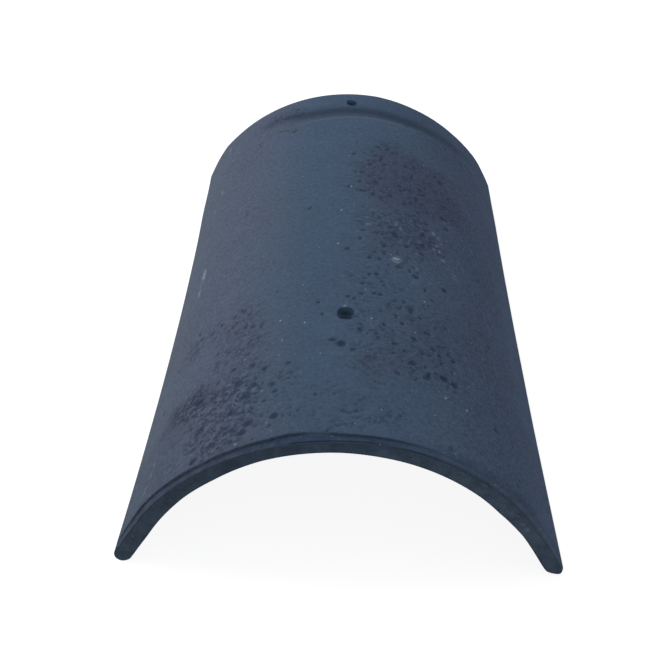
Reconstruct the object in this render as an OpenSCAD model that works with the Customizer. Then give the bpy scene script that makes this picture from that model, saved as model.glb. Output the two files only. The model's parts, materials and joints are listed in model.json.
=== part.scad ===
// Lapped concrete ridge tile: one arched wall on straight legs with round feet, cast in one piece.
// The nose (-Y) covers the lowered lap of the next tile, and the lap (+Y) goes under the one above.
// X runs across the ridge, Y along it. The origin is at the middle of the footprint.

/* [Tile] */
// Overall length along the ridge, lap included
tile_length = 450; // [380:1:500]
// Thickness of the wall
wall = 10.5; // [9:0.5:15]

/* [Section] */
// Outer radius of the arch
arch_radius = 128; // [110:1:150]
// Angle from the top of the arch down to where the straight legs begin
arch_half_angle = 61; // [58:1:75]
// Length of each straight leg, down to the centre of its round foot
leg_length = 25; // [10:1:40]
// Height trimmed off the round foot to give it a flat sole
sole_trim = 0.5; // [0.3:0.1:3]
// Angle from the top of the arch at which the lap's drop and the nose's rebate have faded out
fade_angle = 57; // [45:1:60]

/* [Lap] */
// Length of the lowered lap at the head
lap_length = 58; // [40:1:90]
// Drop of the lap below the body, at the top of the arch
lap_drop = 6; // [3:0.5:8]
// Thickness of the wall in the lap, at the top of the arch
lap_wall = 10; // [8:0.5:14]
// Radius of the hollow at the foot of the lap's step
cove_radius = 9; // [8.5:0.5:20]

/* [Nose] */
// Depth of the rebate round the outer edge of the nose, at the top of the arch
rebate_depth = 2.4; // [1:0.1:4]
// Length of that rebate along the tile
rebate_length = 4; // [2:0.5:10]

/* [Nail holes] */
// Diameter of the hole in the body
body_hole_d = 10; // [6:0.5:14]
// Distance of the body's hole from the nose
body_hole_from_nose = 112; // [60:1:200]
// Diameter of the hole in the lap
lap_hole_d = 8; // [5:0.5:12]
// Distance of the lap's hole from the head
lap_hole_from_head = 19; // [14:1:25]

/* [Hidden] */
$fn = 96;

// Room by which a cutting solid runs past what it cuts
past = 5;

nose_y = -tile_length / 2;
head_y = tile_length / 2;
step_y = head_y - lap_length;

// The axis of the arch lies below the ground, so that the trimmed feet stand on it
inner_radius = arch_radius - wall;
mid_radius = arch_radius - wall / 2;
axis_z = wall / 2 - sole_trim - mid_radius * cos(arch_half_angle) + leg_length * sin(arch_half_angle);
arch_top_z = axis_z + arch_radius;

// A lowered outer face is an arc through its lowered top and the two points where the drop has faded out
fade_half_chord = arch_radius * sin(fade_angle);
function fade_rise(drop) = arch_radius - drop - arch_radius * cos(fade_angle);
function lowered_radius(drop) = (fade_half_chord ^ 2 + fade_rise(drop) ^ 2) / (2 * fade_rise(drop));
function lowered_axis_z(drop) = arch_top_z - drop - lowered_radius(drop);
lap_inner_radius = lowered_radius(lap_drop) - lap_wall;

// The part of the plane within an angle to either side of straight up, out to some reach
module wedge(half_angle, reach) {
    far = reach / cos(half_angle / 2);
    right_side = [
        [reach * sin(half_angle), reach * cos(half_angle)],
        [far * sin(half_angle / 2), far * cos(half_angle / 2)],
    ];
    left_side = [for (p = right_side) [-p.x, p.y]];
    polygon([[0, 0], right_side[0], right_side[1], [0, reach], left_side[1], left_side[0]]);
}

// All that lies under an arc of some radius and the two straight lines that go on from its ends
module under_arch(radius) {
    run = leg_length + wall + past;
    arc_end = radius * [sin(arch_half_angle), cos(arch_half_angle)];
    line_end = arc_end + run * [cos(arch_half_angle), -sin(arch_half_angle)];
    circle(radius);
    polygon([arc_end, line_end, [-line_end.x, line_end.y], [-arc_end.x, arc_end.y]]);
}

// Section of the wall about the arch's axis, down to its round feet
module wall_section() {
    intersection() {
        difference() {
            under_arch(arch_radius);
            under_arch(inner_radius);
        }
        translate([0, -leg_length / sin(arch_half_angle)])
            wedge(arch_half_angle, 2 * arch_radius);
    }
    for (side = [-1, 1])
        rotate(side * arch_half_angle)
            translate([-side * leg_length, mid_radius])
                circle(wall / 2);
}

// A section across the ridge, drawn out along it from one y to another
module along_ridge(from_y, to_y) {
    translate([0, to_y, 0])
        rotate([90, 0, 0])
            linear_extrude(height = to_y - from_y)
                children();
}

// A profile of radius against length, turned about the axis of a face that is lowered by a drop
module about_lowered_axis(drop) {
    translate([0, 0, lowered_axis_z(drop)])
        rotate([-90, 0, 0])
            rotate_extrude()
                children();
}

// What is taken off to lower the outer face by a drop, from a profile of height above that face against length
module lowering_cut(drop) {
    clear_of_fade = 2;
    intersection() {
        about_lowered_axis(drop)
            translate([lowered_radius(drop), 0])
                children();
        along_ridge(nose_y - 2 * past, head_y + 2 * past)
            translate([0, axis_z])
                wedge(fade_angle + clear_of_fade, 2 * arch_radius);
    }
}

// The lap's step leaves a cove at its foot
module lap_cut() {
    lowering_cut(lap_drop)
        translate([0, step_y])
            difference() {
                square([lap_drop + wall, lap_length + past]);
                difference() {
                    square(cove_radius);
                    translate([cove_radius, cove_radius])
                        circle(cove_radius);
                }
            }
}

module nose_cut() {
    lowering_cut(rebate_depth)
        translate([0, nose_y - past])
            square([rebate_depth + wall, rebate_length + past]);
}

// Thickening under the lap, where the wall's inner face comes down with the outer one
module lap_underside() {
    embed = (wall - lap_drop) / 2;
    slope_length = 2 * lap_drop;
    intersection() {
        along_ridge(step_y - slope_length, head_y)
            translate([0, axis_z])
                circle(inner_radius + embed);
        about_lowered_axis(lap_drop)
            polygon([
                [lap_inner_radius, step_y],
                [lap_inner_radius, head_y + past],
                [2 * arch_radius, head_y + past],
                [2 * arch_radius, step_y - slope_length - past],
                [lap_inner_radius + lap_drop, step_y - slope_length - past],
                [lap_inner_radius + lap_drop, step_y - slope_length],
            ]);
    }
}

module nail_hole(d, y) {
    translate([0, y, arch_top_z / 2])
        cylinder(h = arch_top_z, d = d);
}

// Everything under the flat soles of the feet
module below_ground() {
    width = 2 * (arch_radius + past);
    translate([-width / 2, nose_y - past, -wall])
        cube([width, tile_length + 2 * past, wall]);
}

module ridge_tile() {
    color([0.28, 0.33, 0.40])
        difference() {
            union() {
                along_ridge(nose_y, head_y)
                    translate([0, axis_z])
                        wall_section();
                lap_underside();
            }
            lap_cut();
            nose_cut();
            nail_hole(body_hole_d, nose_y + body_hole_from_nose);
            nail_hole(lap_hole_d, head_y - lap_hole_from_head);
            below_ground();
        }
}

ridge_tile();
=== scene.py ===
"""A weathered, lapped ridge tile of slate-blue concrete on a pale studio floor."""
import json
import math

import bpy
import numpy as np
from mathutils import Matrix, Vector, noise


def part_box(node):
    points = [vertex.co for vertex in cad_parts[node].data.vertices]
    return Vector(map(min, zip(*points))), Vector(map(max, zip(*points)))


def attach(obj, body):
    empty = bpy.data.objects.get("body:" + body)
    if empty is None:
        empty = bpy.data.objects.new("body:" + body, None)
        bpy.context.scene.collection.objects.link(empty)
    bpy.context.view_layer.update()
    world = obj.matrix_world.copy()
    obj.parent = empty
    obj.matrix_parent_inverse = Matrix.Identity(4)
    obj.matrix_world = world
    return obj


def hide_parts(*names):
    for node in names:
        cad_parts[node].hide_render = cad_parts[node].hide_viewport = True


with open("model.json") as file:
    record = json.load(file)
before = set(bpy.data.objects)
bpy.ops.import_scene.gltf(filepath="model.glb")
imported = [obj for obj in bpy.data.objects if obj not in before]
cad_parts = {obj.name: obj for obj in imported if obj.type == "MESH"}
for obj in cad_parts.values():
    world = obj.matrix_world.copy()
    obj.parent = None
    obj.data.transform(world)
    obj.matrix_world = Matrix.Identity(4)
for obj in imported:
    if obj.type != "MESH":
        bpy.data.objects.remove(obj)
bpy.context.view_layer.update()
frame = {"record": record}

MM = 0.001
NODE = "ridge_tile"

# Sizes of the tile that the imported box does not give, in metres
WALL = 10.5 * MM
ARCH_RADIUS = 128 * MM
ARCH_HALF_ANGLE = math.radians(61)
SOLE_TRIM = 0.5 * MM
LAP_LENGTH = 58 * MM
LAP_DROP = 6 * MM
LAP_WALL = 10 * MM
FADE_ANGLE = math.radians(57)
COVE_RADIUS = 9 * MM
UNDER_LAP_SLOPE = 2 * LAP_DROP
REBATE_LENGTH = 4 * MM

# The rest of the section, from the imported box
low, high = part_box(NODE)
TILE_LENGTH = high.y - low.y
NOSE_Y = low.y
HALF_WIDTH = high.x
AXIS_Z = high.z - ARCH_RADIUS
INNER_RADIUS = ARCH_RADIUS - WALL
MID_RADIUS = ARCH_RADIUS - WALL / 2
foot_centre_z = WALL / 2 - SOLE_TRIM
arc_end_z = AXIS_Z + MID_RADIUS * math.cos(ARCH_HALF_ANGLE)
LEG_LENGTH = (arc_end_z - foot_centre_z) / math.sin(ARCH_HALF_ANGLE)
STEP = TILE_LENGTH - LAP_LENGTH

# The lap's outer arc, through its lowered top and the two points where the drop has faded out
fade_half_chord = ARCH_RADIUS * math.sin(FADE_ANGLE)
fade_rise = ARCH_RADIUS - LAP_DROP - ARCH_RADIUS * math.cos(FADE_ANGLE)
LAP_RADIUS = (fade_half_chord**2 + fade_rise**2) / (2 * fade_rise)
LAP_SHIFT = ARCH_RADIUS - LAP_DROP - LAP_RADIUS

# Unevenness of this casting, seen in the photograph
HOLLOW_LEFT = 4.5 * MM
HOLLOW_RIGHT = 1.8 * MM
HEAD_TAPER_LEFT = 1.2 * MM
HEAD_TAPER_RIGHT = 0.5 * MM
FOOT_WEAR_RIGHT = 1.1 * MM
# Lines along the arch are given in degrees from the crown and mm. The legs go on past 61 degrees at
# the same scale.
# Riser of the nose's rebate, from the nose
RISER_LINE = (
    (-66, 7.5), (-58, 7.0), (-52, 5.8), (-46, 4.6), (-36, 3.5), (-27, 4.2), (-18, 4.6), (-13, 5.8),
    (-8, 5.4), (0, 4.0), (20, 3.8), (30, 3.4),
)
# Depth of that rebate
REBATE_DEPTHS = (
    (-74, 0), (-68, 0.5), (-62, 0.9), (-56, 1.2), (-50, 1.6), (-40, 2.1), (-14, 2.2), (0, 2.0),
    (10, 1.7), (18, 1.1), (26, 0.6), (36, 0.2), (44, 0),
)
# Wall at the nose, beyond its drawn thickness
NOSE_EXTRA_WALL = (
    (-77, 0.0), (-75.5, -0.5), (-73, -0.4), (-68, -0.1), (-62, 0.35), (-51, 0.5), (-45, 0.3),
    (-35, 0.6), (-27, 0.0), (-20, -0.5), (0, -0.5), (9, -0.1), (18, 0.1), (31, 0.7), (40, 1.0),
    (47, 1.5), (53, 0.9), (58, 0.1), (64, -0.4), (70, -0.5), (74, -1.1), (75.5, -0.9), (77, 0.0),
)
# Outer face of the lap, above its drawn place
LAP_RISE = (
    (-76, 0), (-70, 0.7), (-64, 1.1), (-58, 0.7), (-50, 0.2), (-30, 0.2), (-12, 0.4),
    (10, 0.4), (25, -0.6), (45, -1.2), (56, -0.8), (62, 0.3), (68, 0.4), (74, 0),
)
# Line of the lap's step, further from the nose than drawn
STEP_LINE = ((-50, -2), (-25, -3), (0, 0), (20, 1), (35, 4), (50, 7))

# Places on the outer face are given as (across, along) in mm: along the arch from the crown line,
# positive to the right, and from the nose.
# Areas where the coating is worn and pitted: across, along, half width, half length, turn in
# degrees, strength
WORN_AREAS = (
    (36, 298, 34, 52, 0, 0.74),
    (20, 276, 26, 24, 0, 0.70),
    (66, 290, 22, 44, 0, 0.55),
    (38, 220, 36, 28, 0, 0.85),
    (30, 188, 24, 22, 0, 0.6),
    (20, 150, 20, 22, 0, 0.4),
    (36, 102, 36, 48, 0, 0.5),
    (58, 74, 20, 20, 0, 0.6),
    (20, 62, 26, 24, 0, 0.4),
    (0, 84, 14, 10, 0, 0.4),
    (0, 26, 44, 22, 0, 0.38),
    (-70, 30, 28, 32, 8, 1),
    (-86, 58, 28, 20, -12, 1),
    (-104, 64, 16, 13, 0, 0.9),
    (-60, 54, 20, 22, 0, 1),
    (-66, 100, 22, 44, 0, 0.66),
    (-36, 44, 14, 30, 0, 0.35),
    (-102, 126, 24, 18, 0, 0.5),
    (-62, 428, 24, 12, 0, 0.75),
    (-60, 386, 20, 7, 0, 0.6),
)
# Patch at the left of the nose that kept its coating: the same, without a strength
KEPT_PATCH = (-122, 22, 27, 34, -18)
# Areas with a darker, more violet tone, given in the same way as the worn ones
STAINED_AREAS = (
    (46, 292, 44, 58, 0, 0.8),
    (72, 296, 26, 46, 0, 1.0),
    (40, 215, 36, 32, 0, 0.5),
    (75, 130, 32, 60, 0, 0.35),
    (42, 98, 30, 40, 0, 0.35),
    (20, 66, 18, 20, 0, 0.5),
    (-98, 56, 22, 28, 0, 0.3),
)
# Dark bands beside the pitted area at the left foot, given in the same way
DARK_BANDS = (
    (-112, 62, 13, 19, 0, 0.5),
    (-84, 66, 16, 9, 0, 0.45),
)
# Single pits that stand out, by area: darkness, then across, along, half width and half length of each
NOTED_PITS = (
    # On the upper right
    (0.62, (
        (24, 323, 2, 3), (26, 314, 2.5, 2), (15, 310, 1.8, 3), (43, 320, 3, 3),
        (50, 323, 1.5, 4), (47, 305, 2, 4), (36, 338, 2, 2.5), (21, 341, 3, 2),
        (73, 320, 3, 4), (7, 281, 2.5, 2), (14, 279, 1.6, 1.6), (20, 283, 2, 2),
        (22, 290, 2, 2), (14, 291, 2, 1.5), (37, 285, 3, 2), (45, 283, 2, 2.5),
        (53, 291, 2, 2), (14, 270, 1.6, 2), (17, 264, 1.5, 4), (30, 267, 1.6, 3.4),
        (40, 261, 1.5, 3), (45, 265, 1.5, 4), (54, 269, 2.5, 2), (58, 260, 1.8, 2),
        (50, 254, 2, 2.5), (46, 246, 1.5, 1.5), (33, 246, 1.8, 1.5), (57, 243, 1.5, 2),
        (66, 242, 1.6, 2), (74, 251, 3, 3), (71, 264, 3, 3), (17, 237, 2, 2),
        (26, 237, 1.5, 2), (10, 244, 1.4, 1.6),
    )),
    # On the right, further down
    (0.85, (
        (53, 225, 1.8, 2.5), (32, 213, 2.5, 4), (52, 211, 2.5, 4), (29, 222, 2, 1.5),
        (40, 202, 2.4, 2), (24, 196, 2, 2.2), (24, 186, 1.8, 2.2), (10, 212, 1.8, 1.6),
        (19, 211, 2.5, 1.4), (8, 201, 1.4, 2), (51, 199, 2, 2), (51, 191, 1.5, 2),
        (14, 178, 1.5, 2), (21, 178, 1.5, 1.8), (33, 173, 2, 1.5), (41, 172, 1.5, 2),
        (0, 187, 1.5, 2), (45, 167, 2.6, 2.2), (66, 166, 2, 2.4), (51, 155, 1.6, 1.8),
        (19, 159, 1.8, 1.9), (14, 158, 1.6, 1.7), (22, 152, 1.2, 1.4), (10, 146, 1.6, 1.8),
        (23, 148, 1.3, 1.5), (17, 137, 1.7, 1.4), (21, 137, 1.6, 1.4), (9, 135, 1.5, 1.2),
        (1, 131, 1.4, 1.6), (5, 129, 1.3, 1.3), (40, 127, 2, 4), (36, 134, 1.5, 1.8),
        (33, 126, 1.8, 1.4), (46, 122, 1.4, 1.8), (26, 128, 1.2, 1.4), (30, 116, 1.8, 1.8),
        (34, 110, 1.5, 1.6), (23, 105, 1.5, 1.6), (50, 108, 2.8, 1.6), (41, 98, 1.8, 1.8),
        (53, 94, 1.5, 1.6), (57, 90, 1.5, 1.6), (67, 91, 2, 2), (64, 95, 1.4, 1.6),
        (46, 86, 1.5, 1.5), (35, 83, 1.6, 1.4), (30, 89, 1.3, 1.3), (51, 87, 1.4, 1.4),
        (58, 83, 1.4, 1.4), (18, 95, 1.4, 1.6), (8, 98, 1.5, 1.5), (3, 100, 1.1, 1.3),
        (-14, 112, 1.4, 1.6), (-17, 125, 1.5, 1.6), (28, 79, 1.2, 1.3),
    )),
    # The largest, in the lower half
    (1, (
        (-7, 86, 2.4, 1.8), (-2, 82, 2.8, 3.2), (5, 77, 1.6, 1.4), (40, 74, 2.8, 2.6),
        (59, 70, 3, 2.8), (66, 68, 2.8, 2), (49, 67, 1.1, 4), (-37, 23, 2.6, 2.8),
        (-57, 47, 3, 2.6), (-62, 61, 2.8, 3.2), (-46, 67, 2, 2), (-51, 55, 1.8, 2),
        (-40, 51, 2, 1.8), (-38, 44, 1.4, 1.4), (-44, 38, 1.4, 1.4), (-54, 74, 2, 2.2),
        (-66, 77, 1.8, 2.2), (-52, 22, 3, 3), (-55, 16, 3, 2.4), (-61, 20, 2.4, 2.6),
        (-74, 15, 4, 2.2), (-84, 33, 4, 2.4), (-64, 36, 2.4, 2.4), (-85, 9, 2.6, 2.6),
        (-90, 62, 4, 2.6),
    )),
    # Small ones on the lower left
    (0.6, (
        (-32, 22, 1.2, 1.2), (-28, 22, 1, 1.2), (-28, 28, 1, 1), (-24, 24, 1.1, 1),
        (-43, 38, 1.2, 1.4), (-48, 42, 1.3, 1.3), (-28, 46, 1, 1), (-31, 54, 1, 1.2),
        (-27, 54, 1, 1), (-42, 52, 1.4, 1), (-46, 54, 1.4, 1.2), (-54, 52, 1.4, 1.4),
        (-62, 92, 1.2, 1.4), (-64, 95, 1.2, 1.2), (-56, 94, 1.4, 1.2), (-52, 97, 1.3, 1.4),
        (-46, 85, 1.2, 1.2), (-84, 134, 1.5, 1.8), (-76, 112, 1.4, 1.6), (-106, 143, 1.8, 1.8),
        (-113, 134, 2.2, 1.8), (-66, 136, 1.8, 1.6), (-60, 126, 1.4, 1.6), (-65, 124, 1.4, 1.4),
        (-71, 116, 1.3, 1.5),
    )),
    # On the lap, on the left
    (0.55, (
        (-64, 430, 2.4, 3.4), (-58, 421, 2.8, 3), (-50, 420, 2.6, 2.6), (-44, 421, 2.2, 2.4),
        (-68, 426, 2, 3), (-60, 388, 2.6, 2.2), (-52, 384, 2.2, 2), (-47, 432, 1.8, 2.2),
    )),
    # On the left flank
    (0.55, (
        (-68, 108, 2.4, 2), (-53, 100, 2.4, 1.6), (-59, 97, 1.6, 2.6), (-50, 95, 1.2, 1.8),
        (-62, 129, 1.8, 2.2), (-73, 123, 2.4, 1.6), (-83, 133, 2, 2.6), (-92, 131, 3, 2),
        (-105, 124, 4, 2.5), (-107, 133, 4, 2.5), (-73, 97, 2, 3.6), (-58, 114, 2, 2.2),
        (-82, 102, 2.2, 2), (-68, 138, 2, 2.6),
    )),
)
# Pale marks: across, along, half width, half length, turn in degrees, strength
PALE_MARKS = (
    (32, 181, 3.4, 4, 0, 1),
    (34, 184, 2, 2, 0, 0.8),
    (61, 234, 1.8, 2.4, 20, 0.7),
    (65, 230, 1.5, 2.2, 0, 0.6),
    (67, 223, 1.5, 2.2, 0, 0.6),
    (63, 219, 1.5, 1.8, 0, 0.5),
    (65, 213, 2, 2, 30, 0.8),
    (60, 212, 1.6, 1.8, 30, 0.6),
    (57, 207, 1.5, 2, 30, 0.6),
    (67, 203, 2, 2, 0, 0.7),
    (50, 214, 2, 1.5, 0, 0.4),
    (33, 228, 1.4, 3, 0, 0.4),
    (36, 223, 1.4, 3.2, 0, 0.4),
    (28, 228, 1.2, 2, 0, 0.35),
    (14, 220, 2.8, 3, 0, 0.4),
    (12, 230, 2, 2, 0, 0.3),
    (46, 177, 1.5, 2, 0, 0.5),
    (46, 196, 1.2, 1.6, 0, 0.4),
    (9, 192, 1.8, 1.2, 0, 0.4),
    (8, 183, 2.2, 1.5, 0, 0.4),
    (76, 190, 3.2, 4, 20, 0.25),
    (44, 160, 3, 2.6, 0, 0.3),
    (-121, 232, 2.8, 9, 8, 1.6),
    (-123, 221, 1.2, 8, 8, 0.5),
    (-122, 209, 2, 6, 8, 0.9),
    (-120, 354, 1.8, 6, 10, 0.45),
    (-121, 433, 1.6, 6, 0, 0.5),
    (-127, 332, 1.4, 6, 20, 0.35),
    (-126, 40, 1.4, 8, 0, 0.35),
    (-130, 18, 1.6, 6, 0, 0.6),
    (-127, 28, 1.4, 5, 0, 0.5),
    (-1, 121, 1.4, 1.2, 0, 0.6),
)
# White grains that stand out: across, along, strength
WHITE_GRAINS = (
    (-1, 321, 0.8), (1, 272, 0.9), (-5, 238, 1), (1, 236, 0.6), (-7, 193, 1), (58, 52, 0.9),
    (73, 51, 1), (15, 110, 0.9), (50, 142, 0.9), (21, 26, 0.7), (-39, 111, 0.9), (-24, 105, 0.9),
    (-37, 91, 0.8), (-60, 83, 0.7), (-46, 47, 0.8), (-57, 8, 0.9), (-41, 18, 0.7), (42, 104, 0.7),
    (11, 140, 0.7), (-75, 111, 0.7), (-104, 79, 0.7),
)
# Pale marks on the end face of the nose: across, depth from the outer face, half width, half depth,
# turn in degrees, strength
END_MARKS = (
    (126, 4.8, 1.8, 2.4, 0, 1),
    (136, 1.6, 6, 0.8, 0, 0.7),
    (120, 4.5, 2.2, 1.2, 0, 0.9),
    (113, 4, 2, 1, 0, 0.6),
    (68, 1.5, 2.5, 0.8, 0, 0.5),
    (83, 1, 2.5, 0.8, 0, 0.5),
    (106, 5, 7, 1.8, 0, 0.35),
    (137, 5, 4, 1.8, 0, 0.3),
    (-147, 3.2, 4, 1.2, 0, 0.3),
    (-130, 8, 20, 0.8, 0, 0.22),
)

# Pits that are strewn over the worn areas
PIT_TRIES = 12000
PIT_CHANCE_ANYWHERE = 0.006
PIT_CHANCE_WORN = 0.62
PIT_HALF_WIDTH = 1.15
NOTED_PIT_DEPTH = 0.9 * MM
STREWN_PIT_DEPTH = 0.8 * MM

rng = np.random.default_rng(7)


def smooth(low_edge, high_edge, value):
    """0 below low_edge, 1 above high_edge, and a smooth step between."""
    t = np.clip((value - low_edge) / (high_edge - low_edge), 0.0, 1.0)
    return t * t * (3 - 2 * t)


def band(value, centre, half_width):
    """1 at a centre, fading out on both sides of it."""
    return np.exp(-(((value - centre) / half_width) ** 2))


def along_arch(table, angle):
    """Reads a table of degrees and mm at angles in radians, as metres."""
    degrees, values = np.array(table).T
    return np.interp(np.degrees(angle), degrees, values) * MM


def noise_field(across, along, size, seed):
    """Smooth noise in about -1 to 1 over the outer face, with features of about the given size."""
    flat_across, flat_along = np.ravel(across) / size, np.ravel(along) / size
    values = [noise.noise(Vector((a, b, seed))) for a, b in zip(flat_across, flat_along)]
    return np.reshape(values, np.shape(across))


def spot_distance(across, along, spot_across, spot_along, half_width, half_length, turn):
    """Distance from a turned oval's centre, where 1 is its edge."""
    u, v = across - spot_across * MM, along - spot_along * MM
    c, s = math.cos(turn), math.sin(turn)
    return np.hypot((c * u + s * v) / (half_width * MM), (c * v - s * u) / (half_length * MM))


def strongest(spots, across, along, full, faded):
    """The strongest of several ovals at each point. They fade out between two distances."""
    amount = np.zeros(np.shape(across))
    for *spot, turn, strength in spots:
        distance = spot_distance(across, along, *spot, math.radians(turn))
        amount = np.maximum(amount, strength * (1 - smooth(full, faded, distance)))
    return amount


def area_amount(areas, across, along):
    """How far points lie inside ragged areas, from 0 to 1."""
    ragged_across = across + 9 * MM * noise_field(across, along, 15 * MM, 3.0)
    ragged_along = along + 12 * MM * noise_field(across, along, 18 * MM, 5.0)
    return strongest(areas, ragged_across, ragged_along, full=0.55, faded=1.25)


def worn_amount(across, along):
    """How worn the coating is, from 0 to 1, outside the patch that kept it."""
    *spot, turn = KEPT_PATCH
    patch = spot_distance(across, along, *spot, math.radians(turn))
    return area_amount(WORN_AREAS, across, along) * smooth(0.85, 1.1, patch)


def make_pits():
    """Pits as rows of across, along, half width, half length, all in mm, turn, depth and darkness."""
    rows = []
    for darkness, pits in NOTED_PITS:
        rows += [(*pit, 0.0, NOTED_PIT_DEPTH * darkness, darkness) for pit in pits]
    reach = ARCH_HALF_ANGLE * ARCH_RADIUS
    across = rng.uniform(-reach, reach, PIT_TRIES)
    along = rng.uniform(5 * MM, TILE_LENGTH - 4 * MM, PIT_TRIES)
    chance = PIT_CHANCE_ANYWHERE + PIT_CHANCE_WORN * worn_amount(across, along) ** 1.3
    keep = rng.uniform(0, 1, PIT_TRIES) < chance
    size = np.clip(rng.lognormal(math.log(PIT_HALF_WIDTH), 0.3, PIT_TRIES), 0.8, 2.2)
    stretch = rng.uniform(0.8, 1.5, PIT_TRIES)
    turn = rng.uniform(0, math.pi, PIT_TRIES)
    darkness = rng.uniform(0.25, 0.68, PIT_TRIES)
    for i in np.nonzero(keep)[0]:
        spot = (across[i] / MM, along[i] / MM, size[i], size[i] * stretch[i])
        rows.append((*spot, turn[i], STREWN_PIT_DEPTH * darkness[i], darkness[i]))
    return rows


PITS = make_pits()


def pit_fields(across, along):
    """Depth of the pits in metres, and how dark their floors are from 0 to 1."""
    depth = np.zeros(np.shape(across))
    dark = np.zeros(np.shape(across))
    ragged_across = across + 0.9 * MM * noise_field(across, along, 3.4 * MM, 11.0)
    ragged_along = along + 0.9 * MM * noise_field(across, along, 3.4 * MM, 17.0)
    for *spot, turn, deep, darkness in PITS:
        reach = 2 * max(spot[2:]) * MM
        near = (np.abs(across - spot[0] * MM) < reach) & (np.abs(along - spot[1] * MM) < reach)
        if not near.any():
            continue
        bowl = 1 - smooth(0.3, 1.4, spot_distance(ragged_across[near], ragged_along[near], *spot, turn))
        depth[near] = np.maximum(depth[near], deep * bowl)
        dark[near] = np.maximum(dark[near], darkness * bowl)
    return depth, dark


def lap_arc_radius(angle, arc_radius):
    """Distance from the arch's axis to an arc about the lap's axis, at an angle from the crown."""
    return LAP_SHIFT * np.cos(angle) + np.sqrt(arc_radius**2 - (LAP_SHIFT * np.sin(angle)) ** 2)


def rounding(from_edge, radius):
    """How far an arris or a cove of some radius departs from a face, at a distance from the edge."""
    inside = np.clip(radius - from_edge, 0, radius)
    return radius - np.sqrt(np.maximum(radius**2 - inside**2, 0))


def worn_side(degrees):
    """0 on the left and at the crown, and 1 down the right side, where the edge of the nose is worn."""
    return smooth(8, 36, degrees)


def nose_rebate(angle, station):
    """Depth of the rebate round the nose, with a lip at its edge near the crown."""
    degrees = np.degrees(angle)
    softness = (0.25 + 1.2 * worn_side(degrees) + 0.9 * band(degrees, -6, 4)) * MM
    before_riser = 1 - smooth(REBATE_LENGTH - softness, REBATE_LENGTH + softness, station)
    lip_side = smooth(-16, -11, degrees) * (1 - smooth(6, 14, degrees))
    lip = 0.7 * MM * lip_side * (1 - smooth(0.75 * MM, 1.05 * MM, station))
    return along_arch(REBATE_DEPTHS, angle) * before_riser + lip


def lowered_lap(angle, past_step):
    """Depth of the lap below the plain arch, with the cove and the worn arris of its step."""
    below_arch = np.maximum(0, ARCH_RADIUS - lap_arc_radius(angle, LAP_RADIUS))
    drop = below_arch * (np.abs(angle) < FADE_ANGLE)
    lowered = np.where(past_step > 0, np.maximum(0, drop - rounding(past_step, COVE_RADIUS)), 0)
    on_flank = smooth(48, 58, np.abs(np.degrees(angle)))
    crown_share = (1 - on_flank) * smooth(0, 12 * MM, past_step)
    flank_share = on_flank * smooth(-70 * MM, 20 * MM, past_step)
    raised = along_arch(LAP_RISE, angle) * (crown_share + flank_share)
    worn_arris = np.minimum(drop, 0.35 * MM) * band(past_step, 0, 1.5 * MM) * (past_step <= 0)
    return lowered - raised + worn_arris


def end_arrises(degrees, station):
    """How far the arrises of both ends pull the face in, less what fills out the right foot."""
    nose_radius = (0.4 + 2.2 * worn_side(degrees) * (1 - 0.6 * smooth(55, 68, degrees))) * MM
    head_radius = 1.0 * MM
    square_foot = 0.8 * MM * band(degrees, 75.4, 1) * (1 - smooth(0, 60 * MM, station))
    return rounding(station, nose_radius) + rounding(TILE_LENGTH - station, head_radius) - square_foot


def outer_inset(angle, station):
    """How far the formed outer face lies below the plain arch."""
    formed = nose_rebate(angle, station) + lowered_lap(angle, station - STEP)
    return formed + end_arrises(np.degrees(angle), station)


def relief(across, along):
    """Cast unevenness and pits of the outer face, as a depth below the formed face."""
    swell = 0.12 * MM * (1 + noise_field(across, along, 70 * MM, 31.0))
    worn = worn_amount(across, along)
    grain = 0.16 * MM * (1 + noise_field(across, along, 4 * MM, 37.0)) * worn
    return swell + grain + pit_fields(across, along)[0]


def inner_drop(angle, station):
    """How far the inner face comes down below its arch: under the lap, and unevenly at the nose."""
    raised = LAP_DROP * np.clip((STEP - station) / UNDER_LAP_SLOPE, 0, 1)
    under_lap = lap_arc_radius(angle, LAP_RADIUS - LAP_WALL) + raised
    sloping_or_lap = station > STEP - UNDER_LAP_SLOPE
    thickened = np.where(sloping_or_lap, np.maximum(0, INNER_RADIUS - under_lap), 0)
    extra = along_arch(NOSE_EXTRA_WALL, angle) * (1 - smooth(0, 120 * MM, station))
    ends = rounding(station, 0.4 * MM) + rounding(TILE_LENGTH - station, 0.8 * MM)
    return thickened + extra - ends


# Cells of the mesh along the arch, and spacing of its rows along the tile
ARC_CELLS = 214
LEG_CELLS = 12
FOOT_CELLS = 7
BODY_PITCH = 1.6 * MM
LAP_PITCH = 1.8 * MM
INNER_PITCH = 16 * MM
# Rows of the end faces, as shares of the way from the outer to the inner face
CAP_LEVELS = (0.03, 0.08, 0.14, 0.22, 0.34, 0.5, 0.68, 0.86)
# Cells round a hole: margin of the block, rings on each face, bends of the rim in degrees, wall
BLOCK_MARGIN = 4.5 * MM
FACE_SHARES = (0.4, 0.75, 1.0)
RIM_BENDS = (35, 65, 90)
BORE_LEVELS = 5


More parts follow.
